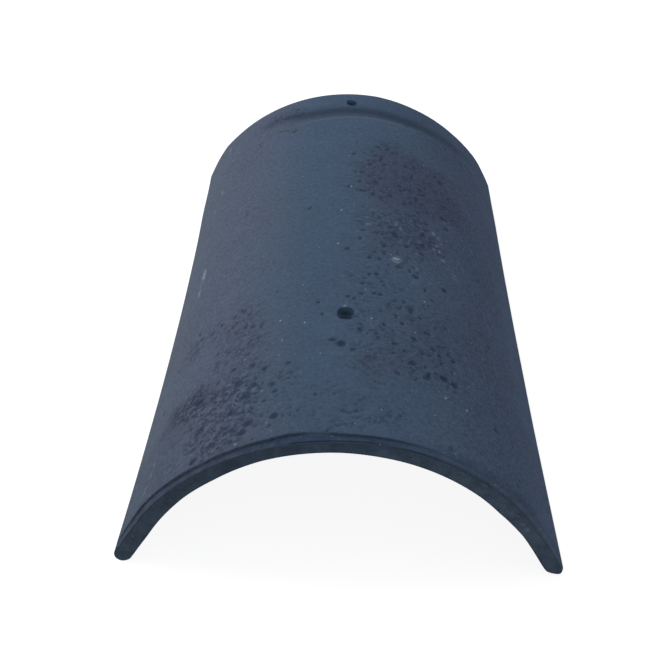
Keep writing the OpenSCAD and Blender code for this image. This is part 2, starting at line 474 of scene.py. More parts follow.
def section_columns():
    """Outer and inner section line from sole to sole, as points and outward directions in x and z."""
    arc = np.linspace(-ARCH_HALF_ANGLE, ARCH_HALF_ANGLE, ARC_CELLS + 1)
    radial = np.stack([np.sin(arc), np.cos(arc)], -1)
    outward = np.array([math.sin(ARCH_HALF_ANGLE), math.cos(ARCH_HALF_ANGLE)])
    downward = np.array([math.cos(ARCH_HALF_ANGLE), -math.sin(ARCH_HALF_ANGLE)])
    leg = LEG_LENGTH * np.arange(1, LEG_CELLS + 1)[:, None] / LEG_CELLS * downward
    foot = MID_RADIUS * outward + LEG_LENGTH * downward
    mirror = np.array([-1, 1])
    sole_turn = math.pi - ARCH_HALF_ANGLE
    steps = np.arange(1, FOOT_CELLS + 1) / FOOT_CELLS

    def line(radius, facing, turn):
        leg_points = radius * outward + leg
        leg_normals = np.tile(facing * outward, (LEG_CELLS, 1))
        foot_normals = np.cos(turn)[:, None] * outward + np.sin(turn)[:, None] * downward
        side = np.concatenate([leg_points, foot + WALL / 2 * foot_normals])
        side_normals = np.concatenate([leg_normals, foot_normals])
        points = np.concatenate([side[::-1] * mirror, radius * radial, side])
        normals = np.concatenate([side_normals[::-1] * mirror, facing * radial, side_normals])
        return points, normals

    outer = line(ARCH_RADIUS, 1, sole_turn * steps)
    inner = line(INNER_RADIUS, -1, math.pi - (math.pi - sole_turn) * steps)
    side_run = ARCH_HALF_ANGLE * ARCH_RADIUS + LEG_LENGTH * np.arange(1, LEG_CELLS + 1) / LEG_CELLS
    foot_run = side_run[-1] + WALL / 2 * sole_turn * steps
    side_across = np.concatenate([side_run, foot_run])
    across = np.concatenate([-side_across[::-1], arc * ARCH_RADIUS, side_across])
    return outer, inner, across


(OUTER_LINE, OUTER_NORMAL), (INNER_LINE, INNER_NORMAL), ACROSS = section_columns()
ANGLES = ACROSS / ARCH_RADIUS
COLUMNS = len(ACROSS)


# Rows of the outer face, in mm: from the nose, from the step and back from the head
NOSE_ROWS = (
    0, 0.1, 0.3, 0.55, 0.75, 0.9, 1.05, 1.4, 2.0, 2.7, 3.2, 3.6, 3.8, 4.0, 4.2, 4.5, 5.0, 5.8, 7,
)
STEP_ROWS = (
    -4, -2.6, -1.6, -0.9, -0.4, 0, 0.25, 0.5, 0.7, 1.0, 1.5, 2.2, 3.1, 4.2, 5.6, 7.2, 9,
)
HEAD_ROWS = (2.2, 1.5, 1.0, 0.5, 0.2, 0)


def even_rows(start, stop, pitch):
    """Evenly spaced rows between two others."""
    count = max(2, round((stop - start) / pitch))
    return np.linspace(start, stop, count + 1)[1:-1]


def outer_stations():
    """Distances from the nose, on the drawing, at which the outer face has a row of points."""
    nose = np.array(NOSE_ROWS) * MM
    step = STEP + np.array(STEP_ROWS) * MM
    head = TILE_LENGTH - np.array(HEAD_ROWS) * MM
    body = even_rows(nose[-1], step[0], BODY_PITCH)
    lap = even_rows(step[-1], head[0], LAP_PITCH)
    return np.concatenate([nose, body, step, lap, head])


OUTER_STATIONS = outer_stations()


def true_along(angle, station):
    """Where a row of the drawing lies on this casting, whose riser and step wander."""
    riser_shift = along_arch(RISER_LINE, angle) - REBATE_LENGTH
    near_riser = smooth(1.2 * MM, REBATE_LENGTH, station) * (1 - smooth(6 * MM, 22 * MM, station))
    near_step = 1 - smooth(4 * MM, 48 * MM, np.abs(station - STEP))
    return station + riser_shift * near_riser + along_arch(STEP_LINE, angle) * near_step


class NailHole:
    """A vertical hole through the crown, with the block of mesh cells that it takes the place of.

    Its worn rim is stretched on the far and on the near side, and leans by a share of x.
    """

    def __init__(self, mount, rim, far_stretch, near_stretch, lean):
        self.along = mount["pos_m"][1] - NOSE_Y
        self.radius = mount["dims"]["r_mm"] * MM
        self.half_block = self.radius + BLOCK_MARGIN
        self.rim = rim
        self.far_stretch = far_stretch
        self.near_stretch = near_stretch
        self.lean = lean

    def block(self, stations):
        """First and last column, and first and last row, of its block in a face with some rows."""
        columns = np.nonzero(np.abs(ACROSS) < self.half_block)[0]
        rows = np.nonzero(np.abs(stations - self.along) < self.half_block)[0]
        return columns[0], columns[-1], rows[0], rows[-1]

    def outline(self, turn, growth, stretched):
        """Its uneven outline at turns about its axis, grown and stretched, as x and along."""
        ragged = 0.25 * MM * noise_field(2 * np.cos(turn), 2 * np.sin(turn), 1.0, 41.0)
        radius = self.radius * (1 + 0.07 * np.sin(2 * turn) ** 2) + ragged + growth
        flat_side = 0.92 * self.radius + growth
        x = np.minimum(radius * np.cos(turn), flat_side)
        stretch = np.where(turn > 0, self.far_stretch, self.near_stretch) * stretched
        along = self.along + (radius + stretch) * np.sin(turn) - self.lean * stretched * x
        return x, along


mounts = {m["name"]: m for m in frame["record"]["mounts"]}
HOLES = [
    NailHole(mounts["body_nail_hole"], rim=0.4 * MM, far_stretch=3.2 * MM, near_stretch=1.0 * MM, lean=0.0),
    NailHole(mounts["lap_nail_hole"], rim=0.5 * MM, far_stretch=2.4 * MM, near_stretch=3.0 * MM, lean=0.6),
]


def inner_stations():
    """Coarse rows for the inner face, with the outer face's own rows round each hole."""
    ends = np.array([0, 0.3, 0.8]) * MM
    chosen = list(np.concatenate([ends, TILE_LENGTH - ends, [STEP - UNDER_LAP_SLOPE, STEP]]))
    for hole in HOLES:
        chosen += list(OUTER_STATIONS[np.abs(OUTER_STATIONS - hole.along) < hole.half_block])
    for y in np.linspace(0, TILE_LENGTH, round(TILE_LENGTH / INNER_PITCH) + 1):
        if np.abs(np.array(chosen) - y).min() > INNER_PITCH / 4:
            chosen.append(y)
    return np.array(sorted(set(chosen)))


INNER_STATIONS = inner_stations()


class Builder:
    """Collects points, with where they lie on the tile, and faces."""

    OUTER, INNER, CAP, BORE = range(4)

    def __init__(self):
        self.points, self.places, self.faces = [], [], []

    def add(self, points, across, along, kind, level=0.0):
        """Adds an array of points and returns their numbers in the same shape."""
        shape = points.shape[:-1]
        first = len(self.points)
        self.points.extend(points.reshape(-1, 3))
        columns = [np.broadcast_to(value, shape).ravel() for value in (across, along, kind, level)]
        self.places.extend(np.stack(columns, -1))
        return first + np.arange(points[..., 0].size).reshape(shape)

    def at(self, numbers):
        """The points with the given numbers."""
        return np.array([self.points[i] for i in numbers])

    def face(self, *corners):
        """Adds a face, without a corner that repeats."""
        distinct = list(dict.fromkeys(int(c) for c in corners))
        if len(distinct) > 2:
            self.faces.append(distinct)

    def grid(self, index, flip=False, skip=()):
        """Joins a two-way array of points by quads, leaving out blocks of rows and columns."""
        rows, columns = index.shape
        for i in range(rows - 1):
            for j in range(columns - 1):
                if any(a <= i < b and c <= j < d for a, b, c, d in skip):
                    continue
                corners = (index[i, j], index[i + 1, j], index[i + 1, j + 1], index[i, j + 1])
                self.face(*(corners[::-1] if flip else corners))

    def ring(self, upper, lower):
        """Joins two closed loops of equal length."""
        for i in range(len(upper)):
            k = (i + 1) % len(upper)
            self.face(upper[i], upper[k], lower[k], lower[i])

    def zip_lines(self, first, first_along, second, second_along, flip):
        """Joins two open lines that run the same way but have different numbers of points."""
        i = j = 0
        while i < len(first) - 1 or j < len(second) - 1:
            first_ended = i == len(first) - 1
            second_ended = j == len(second) - 1
            if second_ended or (not first_ended and first_along[i + 1] <= second_along[j + 1]):
                corners = (first[i], first[i + 1], second[j])
                i += 1
            else:
                corners = (first[i], second[j + 1], second[j])
                j += 1
            self.face(*(corners[::-1] if flip else corners))


def hollow_flanks(points):
    """Bows the flanks inward along the middle of the tile, and draws them in at the head."""
    share = (points[..., 1] - NOSE_Y) / TILE_LENGTH
    on_left = points[..., 0] < 0
    outward = np.abs(points[..., 0]) / HALF_WIDTH
    bow = np.where(on_left, HOLLOW_LEFT, HOLLOW_RIGHT) * 4 * share * (1 - share) * outward**3
    taper = np.where(on_left, HEAD_TAPER_LEFT, HEAD_TAPER_RIGHT) * smooth(0.82, 1.0, share) * outward**16
    points[..., 0] -= np.sign(points[..., 0]) * (bow + taper)
    return points


def above_soles(x, height, along):
    """Heights kept above flat soles. The right one is worn to a slope at the nose, with a soft edge."""
    slope_start = HALF_WIDTH - 3.3 * MM
    slope = 0.28
    worn_end = (x > 0) * (1 - smooth(0, 50 * MM, along))
    sole = (FOOT_WEAR_RIGHT + slope * np.maximum(0, slope_start - x)) * worn_end
    blend = np.maximum(0.5 * MM * worn_end, 0.001 * MM)
    return blend * np.logaddexp(height / blend, sole / blend)


def place(line, normals, depth, along):
    """Points of a face: a section line pushed in by a depth, along the tile, above the soles."""
    flat = line[:, None, :] - normals[:, None, :] * depth[..., None]
    height = above_soles(flat[..., 0], AXIS_Z + flat[..., 1], along)
    return hollow_flanks(np.stack([flat[..., 0], NOSE_Y + along, height], -1))


def crown_point(x, along, outer):
    """Points on the crown at a distance from the crown line, on the outer or the inner face."""
    radius = ARCH_RADIUS if outer else INNER_RADIUS
    angle = np.arcsin(x / radius)
    across = ARCH_RADIUS * angle
    if outer:
        radius = radius - outer_inset(angle, along) - relief(across, along)
    else:
        radius = radius - inner_drop(angle, along)
    height = AXIS_Z + np.sqrt(radius**2 - x**2)
    return np.stack([x, NOSE_Y + along, height], -1), across


def block_edge(index, block):
    """The points round a block, as one closed loop."""
    a, b, c, d = block
    return np.concatenate([index[a:b, c], index[b, c:d], index[b:a:-1, d], index[a, d:c:-1]])


def face_ring(builder, hole, edge, turn, share, outer):
    """A ring of points on a face, some of the way from the block's edge to the hole's rim."""
    start = builder.at(edge)[:, :2] - [0, NOSE_Y]
    x, along = hole.outline(turn, hole.rim, 1 if outer else 0)
    x = start[:, 0] + share * (x - start[:, 0])
    along = start[:, 1] + share * (along - start[:, 1])
    points, across = crown_point(x, along, outer)
    return builder.add(points, across, along, Builder.OUTER if outer else Builder.INNER)


def rim_ring(builder, hole, turn, bend, outer):
    """A ring of points on the hole's rim, where it has bent by an angle from the face to the wall."""
    outward = 1 - math.sin(bend)
    x, along = hole.outline(turn, hole.rim * outward, outward if outer else 0)
    points, across = crown_point(x, along, outer)
    slope = hole.far_stretch * np.maximum(np.sin(turn), 0)
    depth = (hole.rim + slope if outer else hole.rim) * (1 - math.cos(bend))
    points[:, 2] += -depth if outer else depth
    level = 0.1 * (1 - math.cos(bend)) if outer else 1.0
    return builder.add(points, across, along, Builder.BORE, level)


def rings_of(builder, hole, edge, turn, outer):
    """Rings that fill a hole's block in one face, from the block's edge to the wall of the hole."""
    on_face = [face_ring(builder, hole, edge, turn, share, outer) for share in FACE_SHARES]
    on_rim = [rim_ring(builder, hole, turn, math.radians(bend), outer) for bend in RIM_BENDS]
    return [edge] + on_face + on_rim


def bore_hole(builder, hole, outer_index, inner_index):
    """Fills a hole's blocks in both faces with rings, and joins them by its wall."""
    outer_edge = block_edge(outer_index, hole.block(OUTER_STATIONS))
    inner_edge = block_edge(inner_index, hole.block(INNER_STATIONS))
    toward = builder.at(outer_edge)[:, :2] - [0, NOSE_Y + hole.along]
    turn = np.arctan2(toward[:, 1], toward[:, 0])
    down = rings_of(builder, hole, outer_edge, turn, True)
    up = rings_of(builder, hole, inner_edge, turn, False)
    top, bottom = builder.at(down[-1]), builder.at(up[-1])
    for level in range(1, BORE_LEVELS):
        points = top + (bottom - top) * level / BORE_LEVELS
        down.append(builder.add(points, 0.0, hole.along, Builder.BORE, level / BORE_LEVELS))
    rings = down + up[::-1]
    for upper, lower in zip(rings[:-1], rings[1:]):
        builder.ring(upper, lower)


def cap_end(builder, outer_line, inner_line, along, flip):
    """Closes an end between the outer and the inner face, with a slightly uneven end face."""
    inner_line = inner_line.copy()
    inner_line[0], inner_line[-1] = outer_line[0], outer_line[-1]
    first, last = builder.at(outer_line), builder.at(inner_line)
    inward = -1 if flip else 1
    strip = [outer_line]
    for level in CAP_LEVELS:
        points = first + (last - first) * level
        depths = np.full(COLUMNS, level * WALL)
        uneven = 1 + noise_field(ACROSS, depths, 7 * MM, 51.0)
        points[:, 1] += inward * 0.8 * MM * level * (1 - level) * uneven
        row = builder.add(points, ACROSS, along, Builder.CAP, level)
        row[0], row[-1] = outer_line[0], outer_line[-1]
        strip.append(row)
    strip.append(inner_line)
    builder.grid(np.array(strip).T, flip=not flip)


def build_tile():
    """The whole tile as one closed mesh: outer face, inner face, end faces, feet and holes."""
    builder = Builder()
    angles, stations = np.meshgrid(ANGLES, OUTER_STATIONS, indexing="ij")
    across = np.broadcast_to(ACROSS[:, None], angles.shape)
    along = true_along(angles, stations)
    outer_depth = outer_inset(angles, stations) + relief(across, along)
    outer_points = place(OUTER_LINE, OUTER_NORMAL, outer_depth, along)
    outer = builder.add(outer_points, across, along, Builder.OUTER)

    # The inner face leaves out the two columns at the soles, which the outer face has
    angles, stations = np.meshgrid(ANGLES[1:-1], INNER_STATIONS, indexing="ij")
    inner_depth = -inner_drop(angles, stations)
    inner_points = place(INNER_LINE[1:-1], INNER_NORMAL[1:-1], inner_depth, stations)
    inner = builder.add(inner_points, ACROSS[1:-1, None], stations, Builder.INNER)
    no_points = np.full((1, len(INNER_STATIONS)), -1)
    inner = np.concatenate([no_points, inner, no_points])

    outer_blocks = [hole.block(OUTER_STATIONS) for hole in HOLES]
    inner_blocks = [hole.block(INNER_STATIONS) for hole in HOLES]
    builder.grid(outer, skip=outer_blocks)
    builder.grid(inner[1:-1], flip=True, skip=[(a - 1, b - 1, c, d) for a, b, c, d in inner_blocks])
    builder.zip_lines(outer[0], OUTER_STATIONS, inner[1], INNER_STATIONS, flip=False)
    builder.zip_lines(outer[-1], OUTER_STATIONS, inner[-2], INNER_STATIONS, flip=True)
    for hole in HOLES:
        bore_hole(builder, hole, outer, inner)
    cap_end(builder, outer[:, 0], inner[:, 0], 0.0, flip=False)
    cap_end(builder, outer[:, -1], inner[:, -1], TILE_LENGTH, flip=True)
    return builder


def new_object(name, data):
    """A new object in the scene."""
    thing = bpy.data.objects.new(name, data)
    bpy.context.scene.collection.objects.link(thing)
    return thing


def make_object(builder, name):
    """A Blender object from the builder's points and faces, with its surface fields as attributes."""
    used = np.unique([c for f in builder.faces for c in f])
    renumber = np.full(len(builder.points), -1)
    renumber[used] = np.arange(len(used))
    faces = [[int(renumber[c]) for c in f] for f in builder.faces]
    mesh = bpy.data.meshes.new(name)
    mesh.from_pydata(np.array(builder.points)[used].tolist(), [], faces)
    mesh.validate()
    mesh.shade_smooth()
    paint_fields(mesh, Places(np.array(builder.places)[used]))
    return new_object(name, mesh)


def add_field(mesh, name, red, green, blue):
    """Stores three fields of the points as one colour attribute."""
    attribute = mesh.color_attributes.new(name, "FLOAT_COLOR", "POINT")
    values = np.stack([red, green, blue, np.ones_like(red)], -1).astype(np.float32)
    attribute.data.foreach_set("color", values.ravel())


class Places:
    """Where the points of the mesh lie on the tile, and on which of its faces."""

    def __init__(self, rows):
        self.across, self.along, self.kind, self.level = rows.T
        angle = self.across / ARCH_RADIUS
        self.degrees = np.degrees(angle)
        self.outer = (self.kind == Builder.OUTER).astype(float)
        self.at_nose = (self.kind == Builder.CAP) & (self.along < TILE_LENGTH / 2)
        self.past_riser = self.along - along_arch(RISER_LINE, angle)
        self.past_step = self.along - STEP - along_arch(STEP_LINE, angle)


def coat_cover(p):
    """How well the coating covers. It thins out over the rounded edge of the nose on the right."""
    bare_edge = (1 - smooth(0.5 * MM, 2.8 * MM, p.along)) * smooth(12, 32, p.degrees)
    return p.outer * (1 - 0.55 * bare_edge)


def cove_and_riser_shade(p):
    """Painted shade in the cove of the lap, and by the riser of the rebate at the left foot."""
    centre = (24 - 2 * smooth(-10, 20, p.degrees) + 7 * smooth(-14, -28, p.degrees)) * MM
    right = (1 - 0.5 * smooth(20, 50, p.degrees)) * (1 - smooth(44, 60, p.degrees))
    in_cove = band(p.past_step, centre, 9 * MM) * smooth(-48, -14, p.degrees) * right
    by_riser = 0.8 * band(p.past_riser, 0.3 * MM, 2.2 * MM) + 0.2 * (p.past_riser < 0)
    return p.outer * np.maximum(in_cove, by_riser * smooth(-52, -60, p.degrees))


def smeared_dirt(p):
    """Thin dirt on the tread of the rebate, past its riser, along the nose and by the left foot."""
    tread = 1 - smooth(-0.9 * MM, -0.4 * MM, p.past_riser)
    tread = tread * (1 - 0.2 * smooth(6, 16, p.degrees)) * (1 - smooth(38, 56, p.degrees))
    fading = np.exp(-np.maximum(p.past_riser, 0) / (2.4 * MM))
    by_riser = (0.3 + 0.25 * smooth(-35, -50, p.degrees)) * (1 - smooth(20, 34, p.degrees))
    by_riser = by_riser * fading * smooth(-0.4 * MM, 0.2 * MM, p.past_riser)
    on_left = 0.35 * smooth(-30, -42, p.degrees)
    on_right = 0.5 * smooth(14, 30, p.degrees) * smooth(0.3 * MM, 2.5 * MM, p.along)
    by_nose = (on_left + on_right) * (1 - smooth(3 * MM, 15 * MM, p.along))
    by_foot = 0.3 * (1 - smooth(45 * MM, 80 * MM, p.along)) * smooth(-38, -46, p.degrees)
    bands = area_amount(DARK_BANDS, p.across, p.along)
    return p.outer * np.maximum.reduce([tread, by_riser, by_nose, by_foot, bands])


def pale_marks(p):
    """Pale marks on the outer face and on the end face of the nose."""
    on_face = strongest(PALE_MARKS, p.across, p.along, full=0.4, faded=1.2)
    on_end = strongest(END_MARKS, p.across, p.level * WALL, full=0.4, faded=1.2)
    return np.maximum(on_face, on_end * p.at_nose) * (p.outer + p.at_nose)


def white_grains(p):
    """Single white grains, each at the point of the outer face that is nearest to its place."""
    grains = np.zeros_like(p.across)
    off_face = 1000 * (1 - p.outer)
    for across, along, strength in WHITE_GRAINS:
        distance = spot_distance(p.across, p.along, across, along, 1, 1, 0.0)
        grains[np.argmin(distance + off_face)] = strength
    return grains


def worn_edges(p):
    """The worn arris of the lap's step, brightest at the top left, and the edge of the nose."""
    arris_side = smooth(-60, -30, p.degrees) * (1 - 0.7 * smooth(0, 40, p.degrees))
    arris = band(p.past_step, -0.6 * MM, 1.3 * MM) * arris_side
    on_end = 1 - smooth(0.03, 0.14, p.level)
    on_face = p.outer * (1 - smooth(0.1 * MM, 0.3 * MM, p.along))
    edge_side = smooth(-58, -46, p.degrees) * (1 - smooth(8, 22, p.degrees))
    edge = np.where(p.at_nose, on_end, on_face) * edge_side
    return np.maximum(arris * p.outer, 0.6 * edge)


def paint_fields(mesh, p):
    """Where the coating lies, is worn, pitted, dirty or pale, and where shade and light are painted, as
    colour attributes.
    """
    on_body = p.outer * smooth(-0.2 * MM, 0.2 * MM, p.past_riser)
    worn = worn_amount(p.across, p.along) * on_body
    dark = pit_fields(p.across, p.along)[1] * on_body
    bore = (p.kind == Builder.BORE) * (0.5 + 0.5 * p.level)
    side = 0.5 + p.across / ACROSS_SPAN
    stain = area_amount(STAINED_AREAS, p.across, p.along) * p.outer
    add_field(mesh, "coating", coat_cover(p), worn, dark)
    # Painted shade in corners, and where the bores and the sides lie, which carry painted shade and light
    add_field(mesh, "shade_and_light", cove_and_riser_shade(p), bore, side)
    add_field(mesh, "marks", pale_marks(p), worn_edges(p), smeared_dirt(p))
    add_field(mesh, "specks", white_grains(p), stain, p.outer)


class Nodes:
    """A short way to write the node tree of a material or the world."""

    def __init__(self, owner):
        owner.use_nodes = True
        self.tree = owner.node_tree
        self.tree.nodes.clear()

    def add(self, kind, inputs=None, **settings):
        node = self.tree.nodes.new(kind)
        for key, value in settings.items():
            setattr(node, key, value)
        for key, value in (inputs or {}).items():
            self.set(node.inputs[key], value)
        return node

    def set(self, socket, value):
        if isinstance(value, bpy.types.NodeSocket):
            self.tree.links.new(value, socket)
        else:
            socket.default_value = value

    def math(self, operation, a, b):
        return self.add("ShaderNodeMath", {0: a, 1: b}, operation=operation).outputs[0]

    def plus(self, a, b):
        return self.math("ADD", a, b)

    def times(self, a, b):
        return self.math("MULTIPLY", a, b)

    def most(self, a, b):
        return self.math("MAXIMUM", a, b)

    def centred(self, value, amount):
        """A noise in 0 to 1, moved to lie about 0 and scaled."""
        return self.times(self.math("SUBTRACT", value, 0.5), amount)

    def mix(self, share, a, b, blend="MIX"):
        node = self.add("ShaderNodeMix", data_type="RGBA", blend_type=blend)
        self.set(node.inputs["Factor"], share)
        self.set(node.inputs[6], a)
        self.set(node.inputs[7], b)
        return node.outputs[2]

    def tint(self, share, colour, by):
        """A colour multiplied by another, for a share."""
        return self.mix(share, colour, self.mix(1.0, colour, by, "MULTIPLY"))

    def shade(self, colour, tone):
        """A colour multiplied by a grey tone."""
        grey = self.add("ShaderNodeCombineColor", {0: tone, 1: tone, 2: tone}).outputs[0]
        return self.mix(1.0, colour, grey, "MULTIPLY")

    def step(self, value, start, stop):
        inputs = {"Value": value, "From Min": start, "From Max": stop}
        return self.add("ShaderNodeMapRange", inputs, interpolation_type="SMOOTHSTEP").outputs[0]

    def noise(self, where, size, detail=3.0, roughness=0.55):
        inputs = {"Vector": where, "Scale": 1 / size, "Detail": detail, "Roughness": roughness}
        return self.add("ShaderNodeTexNoise", inputs).outputs[0]

    def channels(self, attribute):
        colour = self.add("ShaderNodeAttribute", attribute_name=attribute).outputs["Color"]
        return self.add("ShaderNodeSeparateColor", {"Color": colour}).outputs[:3]

    def spots(self, where, cell, radius, share):
        """Round spots: one cell in so many has one."""
        cells = self.add("ShaderNodeTexVoronoi", {"Vector": where, "Scale": 1 / cell, "Randomness": 1.0})
        roll = self.add("ShaderNodeSeparateColor", {"Color": cells.outputs["Color"]}).outputs[0]
        disc = self.step(cells.outputs["Distance"], radius / cell, 0.55 * radius / cell)
        return self.times(disc, self.math("LESS_THAN", roll, share))

    def ramp(self, value, stops):
        node = self.add("ShaderNodeValToRGB", {"Fac": value})
        points = node.color_ramp.elements
        while len(points) < len(stops):
            points.new(0.5)
        for point, (position, colour) in zip(points, stops):
            point.position = position
            point.color = colour
        return node.outputs["Color"]


# Colours, as linear light. Those that change across the tile go from 0 to 1 over this span.
ACROSS_SPAN = 320 * MM
# Coating across the tile: lighter and greyer towards the left flank as painted light from the left, lighter
# again near the right edge
COAT_AND_LEFT_LIGHT = (
    (0.05, (0.094, 0.115, 0.155, 1)),
    (0.14, (0.085, 0.104, 0.146, 1)),
    (0.27, (0.076, 0.095, 0.141, 1)),
    (0.42, (0.0534, 0.081, 0.1275, 1)),
    (0.62, (0.0525, 0.0785, 0.1275, 1)),
    (0.72, (0.0515, 0.0755, 0.120, 1)),
    (0.80, (0.056, 0.079, 0.126, 1)),
    (0.95, (0.066, 0.094, 0.153, 1)),
)
WORN_TINT = (0.97, 0.95, 0.94, 1)
STAIN_TINT = (0.95, 0.85, 0.86, 1)
TREAD_TINT = (0.52, 0.57, 0.62, 1)
PIT_TINT = (0.26, 0.33, 0.40, 1)
# Lightening of the skin's lumps: paler concrete with a painted highlight
LUMP_HIGHLIGHT_TINT = (1.22, 1.20, 1.18, 1)
# Walls of the holes, from rim to inner face: painted shade at the rim, painted light deeper down
BORE_SHADE_AND_LIGHT = (
    (0.50, (0.018, 0.031, 0.056, 1)),
    (0.55, (0.050, 0.080, 0.128, 1)),
    (0.62, (0.15, 0.22, 0.34, 1)),
    (0.98, (0.10, 0.15, 0.24, 1)),
)
END_ACROSS = (
    (0.05, (0.094, 0.131, 0.183, 1)),
    (0.25, (0.080, 0.114, 0.163, 1)),
    (0.50, (0.079, 0.117, 0.173, 1)),
    (0.62, (0.097, 0.138, 0.199, 1)),
    (0.88, (0.111, 0.152, 0.220, 1)),
    (0.98, (0.107, 0.148, 0.212, 1)),
)
# Colour of the painted shade in the lap's cove and by the riser of the rebate
CORNER_SHADE = (0.013, 0.022, 0.038, 1)
PALE = (0.26, 0.30, 0.36, 1)
ARRIS = (0.095, 0.115, 0.150, 1)


def coat_and_left_light_colour(n, where, across, mottle):
    """The slate-blue coating, with a broad and a fine change of tone, lighter and greyer on the left flank
    as painted light from the left, and lighter near the right edge.
    """
    cloud = n.noise(where, 38 * MM, 4)
    coat_and_left_light = n.ramp(n.plus(across, n.centred(cloud, 0.16)), COAT_AND_LEFT_LIGHT)
    on_right = n.times(n.step(across, 0.55, 0.8), 0.8)
    on_left = n.times(n.step(across, 0.4, 0.2), 0.6)
    grain = n.centred(mottle, n.plus(n.plus(0.95, on_right), on_left))
    tone = n.plus(n.plus(n.times(cloud, 0.3), 0.85), grain)
    return n.shade(coat_and_left_light, n.most(tone, 0.2))


def weathered(n, colour, where, worn, stain):
    """Worn areas are greyer in patches, and stained ones more violet."""
    worn_patch = n.centred(n.noise(where, 7 * MM, 4), 0.8)
    bare = n.step(n.plus(worn, worn_patch), 0.1, 0.8)
    colour = n.tint(bare, colour, WORN_TINT)
    stain_patch = n.centred(n.noise(where, 14 * MM, 3), 0.7)
    stained = n.times(n.step(n.plus(stain, stain_patch), 0.0, 0.9), n.step(stain, 0.0, 0.1))
    return n.tint(stained, colour, STAIN_TINT)


def modelled_pits(n, where, pitted):
    """How dark the modelled pits are, ragged at their edges."""
    ragged = n.centred(n.noise(where, 1.7 * MM, 2), 0.7)
    shape = n.times(n.step(n.plus(pitted, ragged), 0.12, 0.5), n.step(pitted, 0.0, 0.12))
    return n.times(shape, n.plus(0.3, n.times(pitted, 0.5)))


def small_pits(n, where, worn):
    """How dark the small pits and blotches of the worn areas are. They lie in groups."""
    any_wear = n.step(worn, 0.06, 0.45)
    grouped = n.step(n.noise(where, 11 * MM, 2), 0.32, 0.62)
    spots = n.spots(where, 3.2 * MM, 0.9 * MM, 0.55)
    blotches = n.step(n.noise(where, 3.8 * MM, 3, 0.6), 0.52, 0.62)
    return n.times(n.times(n.times(n.most(spots, blotches), any_wear), 0.42), grouped)


def raw_concrete(n, where, across):
    """The bare concrete of the ends and the underside."""
    grain = n.plus(n.noise(where, 8 * MM, 4, 0.6), n.times(n.noise(where, 1.3 * MM, 2), 0.5))
    tone = n.most(n.plus(0.02, n.times(grain, 1.3)), 0.2)
    return n.shade(n.ramp(across, END_ACROSS), tone)


def pale_spots(n, colour, where, pale, white, outside):
    """Scuffed pale marks, strewn pale grains and single white ones."""
    scuffed = n.step(n.noise(where, 2.6 * MM, 3), 0.36, 0.62)
    colour = n.mix(n.times(n.times(pale, scuffed), 0.85), colour, PALE)
    large = n.spots(where, 7 * MM, 0.55 * MM, 0.16)
    small = n.spots(where, 3.1 * MM, 0.38 * MM, 0.22)
    colour = n.mix(n.times(n.times(n.most(large, small), outside), 0.7), colour, PALE)
    return n.mix(n.times(n.step(white, 0.3, 0.75), 0.85), colour, PALE)


def concrete_material():
    """Slate-blue coating over concrete: worn areas, dark pits, pale grains, painted shade in corners, raw
    ends, painted shade and light in the bores, painted light on the left flank and painted highlights on
    the lumps.
    """
    material = bpy.data.materials.new("weathered_concrete")
    n = Nodes(material)
    where = n.add("ShaderNodeTexCoord").outputs["Object"]
    on_coat, worn, pitted = n.channels("coating")
    corner_shade, bore, across = n.channels("shade_and_light")
    pale, arris, tread = n.channels("marks")
    white, stain, outside = n.channels("specks")

    # Coating, with its pits and a wrinkled skin where the wear is heavy, whose lumps are paler with a
    # painted highlight
    mottle = n.noise(where, 2.4 * MM, 4, 0.75)
    skin = n.noise(where, 3.4 * MM, 3, 0.6)
    heavy_wear = n.step(worn, 0.66, 0.98)
    lump_highlight = n.times(n.step(skin, 0.46, 0.36), heavy_wear)
    wrinkle = n.times(n.step(skin, 0.49, 0.58), heavy_wear)
    soft_pit = n.most(small_pits(n, where, worn), n.times(wrinkle, 0.6))
    pit = n.most(modelled_pits(n, where, pitted), soft_pit)
    colour = weathered(n, coat_and_left_light_colour(n, where, across, mottle), where, worn, stain)
    # Lumps of the skin painted paler, with a painted highlight on them
    colour = n.tint(lump_highlight, colour, LUMP_HIGHLIGHT_TINT)
    colour = n.tint(pit, colour, PIT_TINT)

    # Smeared dirt, raw concrete, painted shade in the corners, bores with painted shade at the rim and
    # painted light deeper down, pale edges and spots
    smear = n.step(n.noise(where, 6 * MM, 3), 0.3, 0.6)
    smeared = n.times(tread, n.plus(0.7, n.times(smear, 0.3)))
    colour = n.tint(smeared, colour, TREAD_TINT)
    colour = n.mix(on_coat, raw_concrete(n, where, across), colour)
    # Painted shade in the lap's cove and by the riser of the rebate
    colour = n.mix(n.times(corner_shade, 0.65), colour, CORNER_SHADE)
    # Bores: painted shade at the rim and painted light deeper down
    colour = n.mix(n.step(bore, 0.0, 0.5), colour, n.ramp(bore, BORE_SHADE_AND_LIGHT))
    colour = n.mix(n.times(arris, 0.6), colour, ARRIS)
    colour = pale_spots(n, colour, where, pale, white, outside)

    # Fine relief, stronger where the coating is worn
    height = n.plus(n.times(mottle, 0.3), n.times(pit, -0.8))
    height = n.plus(height, n.times(n.times(skin, -2.4), worn))
    bump = n.add("ShaderNodeBump", {"Height": height, "Strength": 0.6, "Distance": 0.5 * MM})
    shader = n.add("ShaderNodeBsdfPrincipled", {"Base Color": colour, "Normal": bump.outputs[0]})
    shader.inputs["Roughness"].default_value = 0.85
    shader.inputs["Specular IOR Level"].default_value = 0.03
    n.add("ShaderNodeOutputMaterial", {"Surface": shader.outputs[0]})
    return material


def dress_tile():
    """The modelled tile in place of the plain solid."""
    tile = make_object(build_tile(), "ridge_tile_cast")
    tile.data.materials.append(concrete_material())
    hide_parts(NODE)
    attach(tile, "root")


